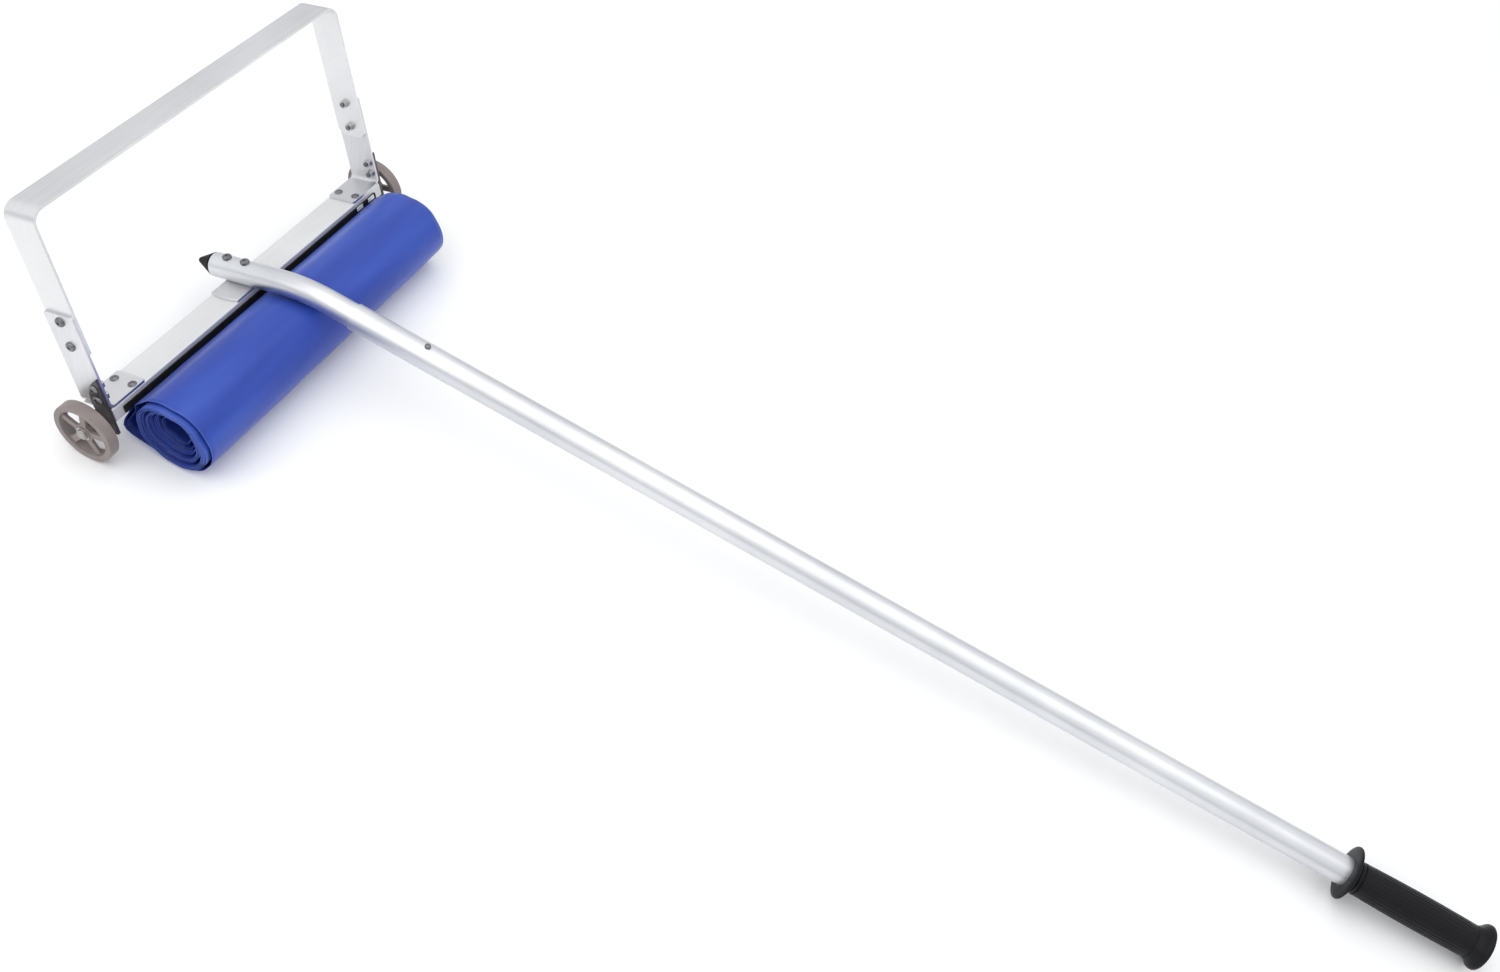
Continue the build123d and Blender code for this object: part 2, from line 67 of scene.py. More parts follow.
def along_pole(along, up=0.0):
    """Point on the pole's axis, in millimetres from the bend's corner, in the row frame."""
    y = BEND_Y - along * math.cos(BEND) - up * math.sin(BEND)
    z = TUBE_Z - along * math.sin(BEND) + up * math.cos(BEND)
    return lean(0, y, z)


POLE_DIR = (along_pole(100) - along_pole(0)).normalized()

# ---- mesh helpers ------------------------------------------------------------------------------------------------


def mesh_object(name, verts, faces, body="rake", smooth=40):
    """New mesh on a body, with edges sharper than smooth degrees kept sharp."""
    mesh = bpy.data.meshes.new(name)
    mesh.from_pydata([tuple(v) for v in verts], [], faces)
    mesh.validate()
    mesh.shade_smooth()
    if smooth < 180:
        mesh.set_sharp_from_angle(angle=math.radians(smooth))
    obj = bpy.data.objects.new(name, mesh)
    bpy.context.scene.collection.objects.link(obj)
    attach(obj, body)
    return obj


def lathe_data(origin, axis, profile, segments=48, shape=None):
    """Closed turned solid: profile is (along, radius) in mm from origin; shape(index, angle, radius) varies it."""
    axis = Vector(axis).normalized()
    side = axis.orthogonal().normalized()
    other = axis.cross(side)
    verts, faces = [], []
    for index, (along, radius) in enumerate(profile):
        for k in range(segments):
            angle = 2 * math.pi * k / segments
            r = shape(index, angle, radius) if shape else radius
            verts.append(origin + (axis * along + (side * math.cos(angle) + other * math.sin(angle)) * r) * MM)
    for ring in range(len(profile) - 1):
        for k in range(segments):
            a, b = ring * segments + k, ring * segments + (k + 1) % segments
            faces.append((a, b, b + segments, a + segments))
    faces.append(tuple(range(segments))[::-1])
    last = (len(profile) - 1) * segments
    faces.append(tuple(last + k for k in range(segments)))
    return verts, faces


def paint(obj, material):
    """One material on every face of a CAD mesh."""
    obj.data.materials.clear()
    obj.data.materials.append(material)
    for poly in obj.data.polygons:
        poly.material_index = 0


def merge(parts):
    """One mesh from several (vertices, faces)."""
    verts, faces = [], []
    for v, f in parts:
        base = len(verts)
        verts += v
        faces += [tuple(i + base for i in face) for face in f]
    return verts, faces


def hexagon(angle, across):
    """Radius at an angle of a hexagon with that size across its flats."""
    return across / 2 / math.cos((angle + math.pi / 6) % (math.pi / 3) - math.pi / 6)


# ---- material helpers --------------------------------------------------------------------------------------------


class Nodes:
    """A new material with a Principled shader, and short calls that add and join nodes."""

    def __init__(self, name):
        self.material = bpy.data.materials.new(name)
        self.material.use_nodes = True
        self.tree = self.material.node_tree
        self.shader = self.tree.nodes["Principled BSDF"]
        self.coords = self.add("ShaderNodeTexCoord").outputs["Object"]

    def add(self, kind, **settings):
        node = self.tree.nodes.new(kind)
        for key, value in settings.items():
            setattr(node, key, value)
        return node

    def join(self, a, b):
        self.tree.links.new(a, b)

    def set(self, **values):
        for key, value in values.items():
            self.shader.inputs[key.replace("_", " ")].default_value = value
        return self

    def scaled(self, scale, coords=None, turn=(0, 0, 0)):
        node = self.add("ShaderNodeMapping")
        node.inputs["Scale"].default_value = scale
        node.inputs["Rotation"].default_value = turn
        self.join(coords or self.coords, node.inputs["Vector"])
        return node.outputs["Vector"]

    def noise(self, scale, detail=3.0, stretch=(1, 1, 1), coords=None, rough=0.55):
        node = self.add("ShaderNodeTexNoise")
        node.inputs["Scale"].default_value = scale
        node.inputs["Detail"].default_value = detail
        node.inputs["Roughness"].default_value = rough
        self.join(self.scaled(stretch, coords), node.inputs["Vector"])
        return node.outputs["Fac"]

    def ramp(self, fac, stops):
        node = self.add("ShaderNodeValToRGB")
        ramp = node.color_ramp
        while len(ramp.elements) < len(stops):
            ramp.elements.new(0.5)
        for element, (place, colour) in zip(ramp.elements, stops):
            element.position = place
            element.color = (*colour, 1)
        self.join(fac, node.inputs["Fac"])
        return node.outputs["Color"]

    def span(self, fac, low, high):
        node = self.add("ShaderNodeMapRange")
        node.inputs["To Min"].default_value = low
        node.inputs["To Max"].default_value = high
        self.join(fac, node.inputs["Value"])
        return node.outputs["Result"]

    def mix(self, fac, a, b, blend="MIX"):
        node = self.add("ShaderNodeMix", data_type="RGBA", blend_type=blend)
        for value, socket in ((fac, "Factor"), (a, "A"), (b, "B")):
            sockets = [s for s in node.inputs if s.name == socket and s.enabled]
            if hasattr(value, "node"):
                self.join(value, sockets[0])
            else:
                sockets[0].default_value = (*value, 1) if isinstance(value, tuple) else value
        return [s for s in node.outputs if s.enabled][0]

    def bump(self, height, strength, distance, base=None):
        node = self.add("ShaderNodeBump")
        node.inputs["Strength"].default_value = strength
        node.inputs["Distance"].default_value = distance
        self.join(height, node.inputs["Height"])
        if base:
            self.join(base, node.inputs["Normal"])
        return node.outputs["Normal"]

    def colour(self, socket):
        self.join(socket, self.shader.inputs["Base Color"])

    def rough(self, socket):
        self.join(socket, self.shader.inputs["Roughness"])

    def normal(self, socket):
        self.join(socket, self.shader.inputs["Normal"])


def metal(name, dark, light, rough, grain, tint_scale=9.0, metallic=1.0, streak=0.06):
    """Rolled or drawn metal: fine grain stretched along one axis, cloudy tint and faint scratches."""
    n = Nodes(name).set(Metallic=metallic)
    cloud = n.noise(tint_scale, 4.0)
    lines = n.noise(1.0, 2.0, grain)
    tint = n.ramp(cloud, [(0.3, dark), (0.7, light)])
    shade = n.ramp(lines, [(0.25, (1 - streak,) * 3), (0.75, (1, 1, 1))])
    n.colour(n.mix(1.0, tint, shade, "MULTIPLY"))
    n.rough(n.span(n.noise(30.0, 5.0), rough - 0.06, rough + 0.08))
    fine = n.bump(lines, 0.10, 0.0002)
    n.normal(n.bump(n.noise(900.0, 2.0), 0.05, 0.0001, fine))
    return n.material


def moulded(name, dark, light, rough, pebble, strength, specular=0.4):
    """Moulded plastic or rubber: cloudy colour, a pebbled skin and lighter rubbed patches."""
    n = Nodes(name).set(Specular_IOR_Level=specular)
    rubbed = n.noise(38.0, 5.0, rough=0.65)
    n.colour(n.mix(n.span(rubbed, 0.0, 1.0), dark, light))
    n.rough(n.span(n.noise(70.0, 4.0), rough - 0.08, rough + 0.1))
    n.normal(n.bump(n.noise(pebble, 3.0), strength, 0.0003))
    return n.material


# ---- materials ---------------------------------------------------------------------------------------------------

strip_metal = metal("strip_metal", (0.74, 0.74, 0.75), (0.84, 0.84, 0.85), 0.36, (14, 700, 700), streak=0.10)
leg_metal = metal("leg_metal", (0.66, 0.66, 0.68), (0.77, 0.77, 0.79), 0.38, (700, 700, 18), streak=0.10)
bar_metal = metal("bar_metal", (0.72, 0.72, 0.73), (0.82, 0.82, 0.82), 0.50, (14, 700, 700), metallic=0.5)
tube_metal = metal("tube_metal", (0.66, 0.67, 0.70), (0.77, 0.78, 0.80), 0.38, (900, 9, 900), streak=0.05)
saddle_metal = metal("saddle_metal", (0.62, 0.62, 0.63), (0.74, 0.74, 0.75), 0.42, (700, 30, 700), metallic=0.8)
clip_metal = metal("clip_metal", (0.84, 0.84, 0.85), (0.92, 0.92, 0.92), 0.45, (60, 700, 700), 60.0, metallic=0.25)
zinc = metal("zinc", (0.50, 0.50, 0.49), (0.66, 0.65, 0.63), 0.32, (300, 300, 300), 120.0)
screw_steel = metal("screw_steel", (0.15, 0.15, 0.16), (0.27, 0.27, 0.28), 0.30, (300, 300, 300), 200.0)
polished = metal("polished_steel", (0.74, 0.74, 0.75), (0.86, 0.86, 0.87), 0.24, (900, 60, 60), 60.0)
axle_steel = metal("axle_steel", (0.30, 0.28, 0.27), (0.46, 0.44, 0.43), 0.34, (60, 300, 300), 90.0)
spring_blue = metal("spring_steel", (0.28, 0.30, 0.34), (0.42, 0.43, 0.46), 0.32, (60, 60, 600), 90.0)
graphite = metal("graphite_steel", (0.085, 0.078, 0.082), (0.19, 0.175, 0.18), 0.42, (300, 300, 300), 60.0, 0.85)
wheel_grey = moulded("wheel_grey", (0.17, 0.142, 0.134), (0.32, 0.275, 0.262), 0.52, 520.0, 0.35)
grip_black = moulded("grip_black", (0.003, 0.003, 0.004), (0.009, 0.009, 0.012), 0.36, 900.0, 0.45, 0.17)
nose_black = moulded("nose_black", (0.0015, 0.0015, 0.0015), (0.005, 0.005, 0.005), 0.5, 700.0, 0.25, 0.08)

# ---- rolled sheet ------------------------------------------------------------------------------------------------

# millimetres in the row frame: y from the head's zero, z from the floor, r a radius
ROLL_Y, ROLL_R, ROLL_SPREAD = -69.0, 38.5, 9.0  # two rounds, this far apart, make the roll's outline
CENTRE_Y, CENTRE_Z = -67.0, 38.0  # the spiral's centre
BULGE = (-20.0, 19.0, 10.0)  # the low front, where the cloth from the hem turns under the roll
TOP_FOLD = (-27.1, 50.4, 4.0)  # the upper front, where it comes over the top and turns in
MEET_ANGLE = 0.4774  # where the hanging cloth touches the bulge, in radians round it
HOLLOW_R = 18.6  # the open middle
SHEET_T = 0.3
FLOOR_GAP = 0.05
LEAD_IN = 9.0  # length of the straight run with which the hanging cloth meets the bulge
TUBE_GAP = 0.9  # from the tube to the cloth that it presses down
DENT_HALF = 17.0  # half width of that dent
TURNS = 19.4
BULGE_DEPTH, BULGE_FADE = 0.13, 0.06  # depth into the roll where the bulge has gone, and over which it goes
FOLD_DEPTH, FOLD_FADE = 0.16, 0.08  # the same for the top fold
FOLD_TURN, FOLD_GROW = 0.55, 0.1  # turns from the start to the top fold, and over which it grows
RIPPLE, END_RIPPLE, SLACK = 0.62, 0.55, 0.3  # ripples off the smooth spiral, more at the roll's ends, and slack
END_START, END_RUN = 150.0, 45.0  # distance from the middle where the ends' ripple starts, and its run
FLOOR_ARC, FLOOR_PRESS = 0.5, 0.85  # radians beside the lowest point where the floor presses ripples flat
# depth into the roll, 0 outside to 1 at the open middle, after each number of turns
DEPTHS = [(0, 0), (0.60, 0), (0.80, 0.025), (1.0, 0.06), (1.12, 0.13), (1.7, 0.165), (2, 0.185), (8, 0.345),
          (8.8, 0.37), (9.1, 0.50), (14, 0.635), (14.8, 0.66), (15.1, 0.78), (17.8, 0.87), (18.2, 0.93), (TURNS, 1.22)]
# half length of the cloth across the head, in mm: the turns lie a little off one another
HALVES = [(0, 192.6), (0.5, 191.0), (0.95, 190.2), (1.5, 195.2), (8.6, 194.9), (9.4, 191.5), (14.5, 192.2),
          (15.5, 186.5), (TURNS, 183.0)]


def between(table, x):
    """Straight-line value at x from a table of (x, value)."""
    for (x0, y0), (x1, y1) in zip(table, table[1:]):
        if x <= x1:
            return y0 + (y1 - y0) * (x - x0) / (x1 - x0)
    return table[-1][1]


def smooth(x):
    x = min(1.0, max(0.0, x))
    return x * x * (3 - 2 * x)


def hull(points):
    """Convex outline of points in a plane."""
    points = sorted(set(points))
    out = []
    for run in (points, points[::-1]):
        half = []
        for p in run:
            while len(half) > 1 and (
                (half[-1][0] - half[-2][0]) * (p[1] - half[-2][1])
                <= (half[-1][1] - half[-2][1]) * (p[0] - half[-2][0])
            ):
                half.pop()
            half.append(p)
        out += half[:-1]
    return out


def disc(y, z, r):
    """Points of a circle, three degrees apart."""
    return [(y + r * math.cos(math.radians(a)), z + r * math.sin(math.radians(a))) for a in range(0, 360, 3)]


def reach_table(outline):
    """Distance from the roll's centre to an outline, at each degree."""
    table = []
    for degree in range(360):
        uy, uz = math.cos(math.radians(degree)), math.sin(math.radians(degree))
        best = 0.0
        for (y0, z0), (y1, z1) in zip(outline, outline[1:] + outline[:1]):
            dy, dz = y1 - y0, z1 - z0
            cross = uy * dz - uz * dy
            if abs(cross) < 1e-9:
                continue
            far = ((y0 - CENTRE_Y) * dz - (z0 - CENTRE_Z) * dy) / cross
            part = ((y0 - CENTRE_Y) * uz - (z0 - CENTRE_Z) * uy) / cross
            if far > 0 and -1e-9 <= part <= 1 + 1e-9:
                best = max(best, far)
        table.append(best)
    return table


round_rim = [p for side in (-1, 1) for p in disc(ROLL_Y + side * ROLL_SPREAD / 2, ROLL_R, ROLL_R)]
ROUND = reach_table(hull(round_rim))
FULL = reach_table(hull(round_rim + disc(*BULGE)))
FOLDED = reach_table(hull(round_rim + disc(*TOP_FOLD)))


def reach(table, angle):
    """Distance at any angle, between the two degrees beside it."""
    degree = math.degrees(angle) % 360
    low = int(degree)
    return table[low] * (1 - degree + low) + table[(low + 1) % 360] * (degree - low)


def tube_axis_height(y):
    """Height of the head tube's axis above the floor, at a distance from the head's zero."""
    corner = along_pole(0) / MM
    corner_y = corner.y - HEAD_Y

    def back(v):
        return corner.z + (v - corner_y) * POLE_DIR.z / POLE_DIR.y

    def front(v):
        return corner.z - (v - corner_y) * math.tan(LEAN)

    t = (y - corner_y + BEND_RUN) / (2 * BEND_RUN)
    if t <= 0:
        return back(y)
    if t >= 1:
        return front(y)
    ends = (1 - t) ** 2 * back(corner_y - BEND_RUN), t * t * front(corner_y + BEND_RUN)
    return ends[0] + 2 * t * (1 - t) * corner.z + ends[1]


def roll_height(y):
    """Height of the roll's top above the floor, before the tube dents it."""
    side = ROLL_Y + math.copysign(ROLL_SPREAD / 2, y - ROLL_Y)
    if abs(y - ROLL_Y) < ROLL_SPREAD / 2:
        return 2 * ROLL_R
    return ROLL_R + math.sqrt(max(0.0, ROLL_R**2 - (y - side) ** 2))


# from the hem the cloth hangs down behind the bar, and meets the roll at the front of its bulge
MEETS = (BULGE[0] + BULGE[2] * math.cos(MEET_ANGLE), BULGE[1] + BULGE[2] * math.sin(MEET_ANGLE))
START = math.atan2(MEETS[1] - CENTRE_Z, MEETS[0] - CENTRE_Y)


def sheet_point(turn, x):
    """One point of the cloth, in row-frame mm from the head's zero: turns along the roll, and x across it."""
    angle = START - 2 * math.pi * turn
    depth = between(DEPTHS, turn)
    bulge = smooth((BULGE_DEPTH - depth) / BULGE_FADE)
    fold = smooth((turn - FOLD_TURN) / FOLD_GROW) * smooth((FOLD_DEPTH - depth) / FOLD_FADE)
    inner = HOLLOW_R + 1.3 * math.sin(2 * angle + 0.7) + 0.9 * math.sin(3 * angle + 2.0)
    outer = reach(ROUND, angle) + (reach(FULL, angle) - reach(ROUND, angle)) * bulge
    outer += max(0.0, reach(FOLDED, angle) - outer) * fold
    wave = 0.5 + 0.5 * math.sin(5 * angle + 1.3 + 0.5 * math.sin(x * 0.013 + 0.6))
    wave += 0.35 * math.sin(11 * angle + 0.02 * x + 1.1) * math.sin(x * 0.021 + 2 * angle)
    wave += 0.30 * math.sin(3 * angle - 0.034 * x) * math.sin(0.05 * x + 1.7)
    end = smooth((abs(x) - END_START) / END_RUN)
    lift = (RIPPLE + END_RIPPLE * end * math.sin(7 * angle + 2.2)) * wave + SLACK
    floor_near = smooth(1 - abs(((angle - 1.5 * math.pi + math.pi) % (2 * math.pi)) - math.pi) / FLOOR_ARC)
    radius = inner + (outer - inner) * (1 - depth) - max(0.0, lift) * (1 - FLOOR_PRESS * floor_near)
    return CENTRE_Y + radius * math.cos(angle), CENTRE_Z + radius * math.sin(angle)


def dented(y, z, x):
    """The tube presses the roll down across its middle."""
    top = roll_height(y)
    press = max(0.0, top - (tube_axis_height(y) - TUBE_R - TUBE_GAP))
    return z * (1 - press / top * math.exp(-((x / DENT_HALF) ** 2))) if top > 1 else z


def bend(points, t):
    """Point on the smooth curve that starts and ends with a run of points."""
    while len(points) > 1:
        points = [(a[0] + (b[0] - a[0]) * t, a[1] + (b[1] - a[1]) * t) for a, b in zip(points, points[1:])]
    return points[0]


SEGMENTS = 64  # rows of the mesh in a turn
COLUMNS = 60
LEADER = 14  # rows from the hem to the roll
SHIFT = 0.5  # how far a turn lies to one side of the others
hang = [lean(0, y, z) / MM for y, z in ((-18.3, -9.0), (-18.6, -12.4), (-18.5, -14.9))]
hang = [(v.y - HEAD_Y, v.z) for v in hang]


def column_x(column):
    """Columns from -1 to 1, closer together at the ends and where the tube presses."""
    t = 2 * column / COLUMNS - 1
    return t - 0.10 * math.sin(2 * math.pi * t) / math.pi


sheet_verts = []
rows = LEADER + int(SEGMENTS * TURNS)
for row in range(rows + 1):
    turn = max(0.0, (row - LEADER) / SEGMENTS)
    half = between(HALVES, turn)
    for column in range(COLUMNS + 1):
        x = column_x(column) * half + SHIFT * math.sin(turn * 1.9)
        y, z = sheet_point(turn, x)
        y1, z1 = sheet_point(turn + 1 / SEGMENTS, x)
        if row < LEADER:
            size = math.hypot(y1 - y, z1 - z)
            before = (y - (y1 - y) / size * LEAD_IN, z - (z1 - z) / size * LEAD_IN)
            y, z = bend([*hang, before, (y, z)], row / LEADER)
        z = max(SHEET_T / 2 + FLOOR_GAP, dented(y, z, x))
        sheet_verts.append(Vector((x, HEAD_Y + y, z)) * MM)
wide = COLUMNS + 1
sheet_faces = [
    (r * wide + c, r * wide + c + 1, (r + 1) * wide + c + 1, (r + 1) * wide + c)
    for r in range(rows)
    for c in range(COLUMNS)
]
middle = COLUMNS // 2
along = [0.0]
for row in range(rows):
    a, b = sheet_verts[row * wide + middle], sheet_verts[(row + 1) * wide + middle]
    along.append(along[-1] + (b - a).length)
slide = mesh_object("slide_cloth", sheet_verts, sheet_faces, smooth=180)
# the cloth's own metres, across and along, so that weave and creases follow it round the roll
CLOTH_EDGE = 0.2
uv = slide.data.uv_layers.new(name="cloth")
for poly in slide.data.polygons:
    for loop in poly.loop_indices:
        vertex = slide.data.loops[loop].vertex_index
        uv.data[loop].uv = (sheet_verts[vertex].x + CLOTH_EDGE, along[vertex // wide])
# 0 at the middle of the cloth and 1 at its two side edges
rim = slide.data.attributes.new("rim", "FLOAT", "POINT")
rim.data.foreach_set("value", [abs(2 * (i % wide) / COLUMNS - 1) for i in range(len(sheet_verts))])
thick = slide.modifiers.new("thickness", "SOLIDIFY")
thick.thickness = SHEET_T * MM
thick.offset = 0.0

n = Nodes("coated_cloth").set(Specular_IOR_Level=0.34, Sheen_Weight=0.06, Sheen_Roughness=0.5)
cloth_uv = n.add("ShaderNodeUVMap", uv_map="cloth").outputs["UV"]
# the broad lighter and darker bands along the roll's length are painted shading, copying how soft light falls across
# the cloth
shade_bands = n.noise(1.0, 2.0, (3.2, 22, 1), cloth_uv)
fine_tint = n.noise(1.0, 4.0, (60, 90, 1), cloth_uv)
base = n.ramp(shade_bands, [(0.30, (0.016, 0.044, 0.30)), (0.50, (0.024, 0.064, 0.39)), (0.72, (0.042, 0.108, 0.50))])
base = n.mix(n.span(fine_tint, 0.0, 0.3), base, (0.020, 0.056, 0.36))
# a thin lighter blue strip along the cloth's two side edges is a painted highlight, where light catches the cut edges
rim_value = n.add("ShaderNodeAttribute", attribute_name="rim").outputs["Fac"]
edge_highlight = n.ramp(rim_value, [(0.0, (0, 0, 0)), (0.990, (0, 0, 0)), (0.997, (1, 1, 1))])
n.colour(n.mix(n.span(edge_highlight, 0.0, 0.45), base, (0.09, 0.17, 0.62)))
n.rough(n.span(n.noise(1.0, 4.0, (40, 40, 1), cloth_uv), 0.30, 0.46))
warp = n.add("ShaderNodeTexWave", wave_type="BANDS", bands_direction="X")
weft = n.add("ShaderNodeTexWave", wave_type="BANDS", bands_direction="Y")
for wave in (warp, weft):
    wave.inputs["Scale"].default_value = 260.0
    wave.inputs["Distortion"].default_value = 0.4
    n.join(cloth_uv, wave.inputs["Vector"])
weave = n.mix(0.5, warp.outputs["Color"], weft.outputs["Color"])
creases = n.noise(1.0, 4.0, (16, 60, 1), cloth_uv, rough=0.6)
n.normal(n.bump(weave, 0.06, 0.0002, n.bump(creases, 0.35, 0.0014)))
slide.data.materials.append(n.material)

# the cloth's back face is painted a darker navy than its front: painted shade for the inside of the roll and the cloth
# under the bar
n = Nodes("cloth_back_painted_shade").set(Specular_IOR_Level=0.25)
cloth_uv = n.add("ShaderNodeUVMap", uv_map="cloth").outputs["UV"]
back_shade = n.noise(1.0, 4.0, (30, 60, 1), cloth_uv)
n.colour(n.ramp(back_shade, [(0.3, (0.006, 0.016, 0.13)), (0.7, (0.014, 0.040, 0.27))]))
n.rough(n.span(n.noise(1.0, 3.0, (40, 40, 1), cloth_uv), 0.45, 0.6))
n.normal(n.bump(n.noise(1.0, 3.0, (900, 900, 1), cloth_uv), 0.1, 0.0002))
slide.data.materials.append(n.material)
thick.material_offset = 1
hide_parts("slide_sheet")

# ---- hem webbing -------------------------------------------------------------------------------------------------

HEM_HALF, HEM_T, HEM_HIGH, HEM_DROP = 197.0, 2.2, 8.0, 4.5
HEM_POINTS = 28
STEPS = 320
STITCH_Z, STITCH_STEPS = 2.2, 5  # two rows of stitches, this far from the middle, one stitch in so many steps
# a rectangle with rounded corners, across the strip
profile = []
for k in range(HEM_POINTS):
    angle = 2 * math.pi * k / HEM_POINTS
    profile.append((
        math.copysign(abs(math.cos(angle)) ** 0.45, math.cos(angle)) * (HEM_T / 2 - 0.15),
        math.copysign(abs(math.sin(angle)) ** 0.6, math.sin(angle)) * (HEM_HIGH / 2 - 0.1),
    ))
verts, faces = [], []
for step in range(STEPS + 1):
    x = -HEM_HALF + 2 * HEM_HALF * step / STEPS
    for py, pz in profile:
        stitched = abs(abs(pz) - STITCH_Z) < 0.9
        pull = 0.16 * (1 + math.cos(2 * math.pi * step / STITCH_STEPS)) / 2 if stitched else 0.0
        wobble = 0.08 * math.sin(x * 0.09) + 0.06 * math.sin(x * 0.031 + 1)
        y = -HALF_STRIP - HEM_T / 2 + py * (1 - pull) + (wobble if py < 0 else 0)
        verts.append(lean(x, y, -HEM_DROP - HEM_HIGH / 2 + pz + 0.08 * math.sin(x * 0.05 + 2)))
ring = len(profile)
for step in range(STEPS):
    for k in range(ring):
        a, b = step * ring + k, step * ring + (k + 1) % ring
        faces.append((a, b, b + ring, a + ring))
faces += [tuple(range(ring))[::-1], tuple(STEPS * ring + k for k in range(ring))]
hem = mesh_object("hem_webbing", verts, faces, smooth=60)
n = Nodes("black_webbing").set(Specular_IOR_Level=0.15, Sheen_Weight=0.05)
ribs = n.add("ShaderNodeTexWave", wave_type="BANDS", bands_direction="X")
ribs.inputs["Scale"].default_value = 420.0
ribs.inputs["Distortion"].default_value = 1.0
n.join(n.scaled((1, 1, 1), turn=(0, 0.5, 0)), ribs.inputs["Vector"])
n.colour(n.ramp(n.noise(160.0, 4.0), [(0.3, (0.002, 0.002, 0.004)), (0.7, (0.008, 0.009, 0.014))]))
n.rough(n.span(n.noise(200.0), 0.55, 0.75))
n.normal(n.bump(ribs.outputs["Color"], 0.35, 0.0003))
hem.data.materials.append(n.material)
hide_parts("hem_strip")

# ---- grip --------------------------------------------------------------------------------------------------------

GRIP_START = 1131.0
# (along, radius) from the grip's front: guard disc, two rings, ribbed body, ring, flared end
profile = [(0, 14.05), (0, 18.5), (0.25, 22.0), (0.7, 25.2), (1.3, 26.3), (2.0, 26.5), (2.7, 26.2), (3.2, 25.2),
           (3.5, 22.5), (3.8, 19.5), (4.4, 17.2), (5.3, 16.2), (6.3, 15.95)]
for start in (6.5, 10.5):
    profile += [(start, 15.9), (start + 0.25, 15.0), (start + 0.6, 14.8), (start + 1.4, 14.8), (start + 1.75, 15.0),
                (start + 2.0, 15.9), (start + 2.3, 16.0), (start + 3.7, 16.0)]
body = [16.5 + 2.0 * k for k in range(53)]
profile += [(s, 15.95 + 0.85 * math.sin(math.pi * min(1.0, (s - 14) / 112))) for s in body]
profile += [(121.5, 16.1), (121.9, 15.5), (122.6, 15.5), (123.0, 16.1), (124.5, 16.4), (126.5, 17.2), (128.5, 18.5),
            (130.2, 20.1), (131.6, 21.6), (132.6, 22.25), (133.6, 22.45), (134.8, 22.4), (135.6, 21.9), (136.3, 20.6),
            (136.9, 17.5), (137.6, 12.0), (138.1, 6.5), (138.4, 2.0), (138.45, 0.4)]
RIBS, RIB_DEPTH = 26, 0.42
RIB_START, RIB_END, RIB_FADE = 17.0, 119.0, 5.0
rib_rows = {i for i, (s, r) in enumerate(profile) if RIB_START <= s <= RIB_END + 1}


def ribbed(index, angle, radius):
    if index not in rib_rows:
        return radius
    s = profile[index][0]
    fade = smooth((s - RIB_START) / RIB_FADE) * smooth((RIB_END - s) / RIB_FADE)
    return radius - RIB_DEPTH * fade * (0.5 + 0.5 * math.cos(RIBS * angle)) ** 3


verts, faces = lathe_data(along_pole(GRIP_START), POLE_DIR, profile, RIBS * 8, ribbed)
grip = mesh_object("moulded_grip", verts, faces, smooth=50)
grip.data.materials.append(grip_black)
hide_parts("grip")

# ---- button spring, kept in its CAD shape (the real one closes as the button goes in) ----------------------------

spring = bpy.data.objects.new("spring_strip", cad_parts["button_spring"].data.copy())
bpy.context.scene.collection.objects.link(spring)
paint(spring, spring_blue)
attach(spring, "rake")
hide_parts("button_spring")
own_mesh(spring)

# ---- screws and rivets -------------------------------------------------------------------------------------------


def thread(start, end, radius, pitch=0.8):
    """Profile of ring grooves that stand for a thread."""
    out, s = [], start
    while s + pitch <= end:
        out += [(s, radius), (s + pitch * 0.45, radius), (s + pitch * 0.72, radius - 0.35)]
        s += pitch
    return out + [(end - 0.3, radius), (end, radius - 0.4)]


def screw(top, into, length, head_r, head_h, socket, shank_r):
    """Pan head with a hexagon socket, seen along its axis from outside, and a threaded tail."""
    profile = [(0.9 - head_h, 0.05), (0.9 - head_h, socket / 2), (-head_h + 0.05, socket / 2),
               (-head_h, socket / 2 + 0.3), (-head_h * 0.97, head_r * 0.62), (-head_h * 0.86, head_r * 0.80),
               (-head_h * 0.66, head_r * 0.93), (-head_h * 0.40, head_r * 0.99), (-head_h * 0.12, head_r),
               (-0.02, head_r * 0.985), (0, head_r * 0.9), (0, shank_r)]
    profile += thread(max(0.6, length - 7.5), length, shank_r) + [(length, 0.05)]
    socket_rows = {1, 2}

    def shape(index, angle, radius):
        return hexagon(angle, socket) if index in socket_rows else radius

    return lathe_data(top, into, profile, 48, shape)


def screws(name, node, spots):
    """All screws of one CAD node, as one piece."""
    obj = mesh_object(name, *merge([screw(*spot) for spot in spots]), smooth=35)
    obj.data.materials.append(screw_steel)
    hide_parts(node)


M5_SCREW = (4.8, 2.8, 3.0, 2.5)  # head radius, head height, socket, shank radius
LEG_SCREW_Z, LEG_SCREW = (69.0, 96.0), 10.5
PLATE_SCREW_Y, PLATE_SCREW_Z, PLATE_SCREW = -10.0, (12.0, 25.0), 11.0
SADDLE_SCREW_Y, SADDLE_TAIL = (12.5, -10.0), 7.5
leg_spots, plate_spots = [], []
for side in (-1, 1):
    for z in LEG_SCREW_Z:
        leg_spots.append((lean(side * BRACKET_OUT, 0, z), (-side, 0, 0), LEG_SCREW, *M5_SCREW))
    for z in PLATE_SCREW_Z:
        plate_spots.append((lean(side * PLATE_OUT, PLATE_SCREW_Y, z), (-side, 0, 0), PLATE_SCREW, *M5_SCREW))
screws("leg_screws", "leg_bolts", leg_spots)
screws("plate_screws", "plate_bolts", plate_spots)
tube_top = TUBE_Z + TUBE_R
screws("saddle_screws", "saddle_bolts", [
    (lean(0, y, tube_top), lean_dir(0, 0, -1), tube_top + SADDLE_TAIL, *M5_SCREW) for y in SADDLE_SCREW_Y
])

